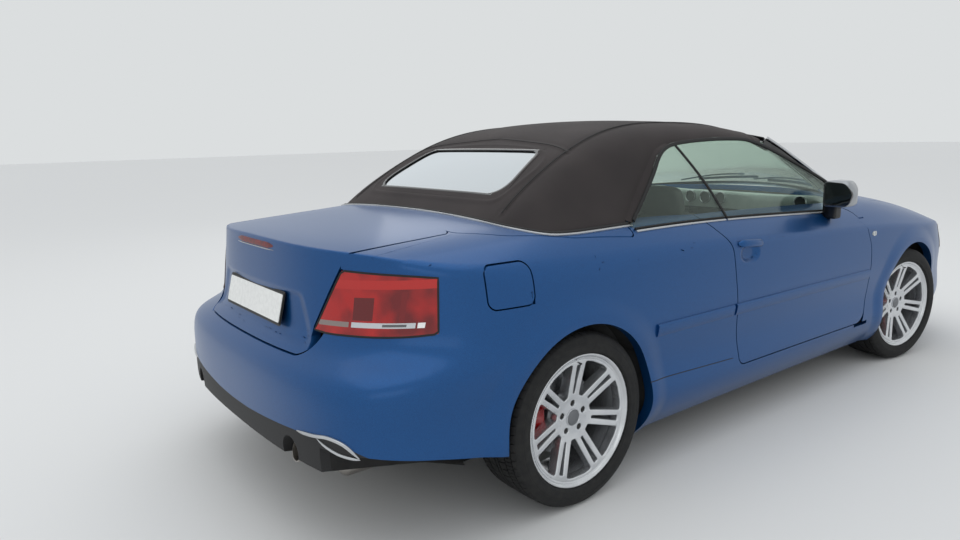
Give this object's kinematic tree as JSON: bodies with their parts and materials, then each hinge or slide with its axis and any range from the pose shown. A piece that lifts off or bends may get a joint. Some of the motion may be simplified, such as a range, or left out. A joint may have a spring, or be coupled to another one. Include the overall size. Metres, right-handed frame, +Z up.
{
  "type": "convertible car",
  "caption": "Four seat convertible car with its fabric roof up, opening doors, bonnet, boot lid and fuel flap, steered front wheels and free turning wheels.",
  "frame": {"origin": "on the ground under the middle of the car's length and width", "axes": "+X forward, +Y to the car's left, +Z up"},
  "size_m": [4.5747, 1.9272, 1.3915],
  "materials": {
    "body_paint": "satin metallic",
    "structure": "matte",
    "cloth": "woven",
    "window_glass": "tinted",
    "lamp_red": "clear coated",
    "lamp_clear": "clear",
    "black_plastic": "grained",
    "leather": "grained",
    "frame_metal": "satin",
    "mirror_shell": "satin",
    "alloy": "lacquered",
    "tyre_rubber": "moulded",
    "caliper_paint": "gloss",
    "cast_iron": "cast",
    "engine_metal": "cast",
    "exhaust_steel": "brushed"
  },
  "bodies": {
    "car": {"rear_bumper": "body_paint", "front_bumper": "body_paint", "front_fenders": "body_paint", "body_sides": "body_paint", "roof_well_cover": "body_paint", "tail_lamps": "lamp_red", "headlamps": "lamp_clear", "grille": "black_plastic", "quarter_windows": "window_glass", "windscreen": "window_glass", "rear_window": "window_glass", "windscreen_frame": "frame_metal", "soft_top": "cloth", "underbody": "structure", "rear_structure": "structure", "front_seats": "leather", "rear_seat": "leather", "dashboard": "black_plastic", "front_suspension": "cast_iron", "rear_suspension": "cast_iron", "rear_brake_calipers": "caliper_paint", "engine": "engine_metal", "fuel_tank": "black_plastic", "exhaust": "exhaust_steel"},
    "bonnet": {"bonnet": "body_paint"},
    "boot_lid": {"boot_lid": "body_paint"},
    "fuel_flap": {"fuel_flap": "body_paint"},
    "door_left": {"door_left": "body_paint", "door_glass_left": "window_glass", "mirror_left": "mirror_shell"},
    "door_right": {"door_right": "body_paint", "door_glass_right": "window_glass", "mirror_right": "mirror_shell"},
    "hub_left": {"knuckle_left": "cast_iron", "brake_caliper_left": "caliper_paint"},
    "hub_right": {"knuckle_right": "cast_iron", "brake_caliper_right": "caliper_paint"},
    "steering_wheel": {"steering_wheel": "leather"},
    "front_left_wheel": {"tyre_front_left": "tyre_rubber", "wheel_front_left": "alloy"},
    "front_right_wheel": {"tyre_front_right": "tyre_rubber", "wheel_front_right": "alloy"},
    "rear_left_wheel": {"tyre_rear_left": "tyre_rubber", "wheel_rear_left": "alloy"},
    "rear_right_wheel": {"tyre_rear_right": "tyre_rubber", "wheel_rear_right": "alloy"}
  },
  "joints": [
    {"name": "door_left_hinge", "type": "hinge", "parent": "car", "child": "door_left", "pos_m": [0.722, 0.8645, 0.6], "axis": [0, 0, -1], "range_deg": [0, 65]},
    {"name": "door_right_hinge", "type": "hinge", "parent": "car", "child": "door_right", "pos_m": [0.722, -0.8645, 0.6], "axis": [0, 0, 1], "range_deg": [0, 65]},
    {"name": "bonnet_hinge", "type": "hinge", "parent": "car", "child": "bonnet", "pos_m": [1.138, 0, 0.979], "axis": [0, -1, 0], "range_deg": [0, 55]},
    {"name": "boot_lid_hinge", "type": "hinge", "parent": "car", "child": "boot_lid", "pos_m": [-1.684, 0, 1.024], "axis": [0, 1, 0], "range_deg": [0, 75]},
    {"name": "fuel_flap_hinge", "type": "hinge", "parent": "car", "child": "fuel_flap", "pos_m": [-1.577, -0.86494, 0.82], "axis": [0, 0, 1], "range_deg": [0, 90]},
    {"name": "steer_left", "type": "hinge", "parent": "car", "child": "hub_left", "pos_m": [1.3075, 0.6515, 0.3225], "axis": [0, 0, 1], "range_deg": [-27, 43]},
    {"name": "steer_right", "type": "hinge", "parent": "car", "child": "hub_right", "pos_m": [1.3075, -0.6515, 0.3225], "axis": [0, 0, 1], "range_deg": [-27, 43]},
    {"name": "steering_column", "type": "hinge", "parent": "car", "child": "steering_wheel", "pos_m": [0.47, 0.37, 0.8], "axis": [-0.9135, 0, 0.4067], "range_deg": [-432, 688]},
    {"name": "front_left_spin", "type": "hinge", "parent": "hub_left", "child": "front_left_wheel", "pos_m": [1.32281, 0.76043, 0.3225], "axis": [0.1392, 0.9903, 0], "continuous": true},
    {"name": "rear_left_spin", "type": "hinge", "parent": "car", "child": "rear_left_wheel", "pos_m": [-1.3465, 0.7615, 0.3225], "axis": [0, 1, 0], "continuous": true},
    {"name": "front_right_spin", "type": "hinge", "parent": "hub_right", "child": "front_right_wheel", "pos_m": [1.29219, -0.76043, 0.3225], "axis": [0.1392, 0.9903, 0], "continuous": true},
    {"name": "rear_right_spin", "type": "hinge", "parent": "car", "child": "rear_right_wheel", "pos_m": [-1.3465, -0.7615, 0.3225], "axis": [0, 1, 0], "continuous": true}
  ],
  "couplings": [
    {"joint": "steer_right", "follows": "steer_left", "ratio": 1},
    {"joint": "steering_column", "follows": "steer_left", "ratio": 16}
  ]
}
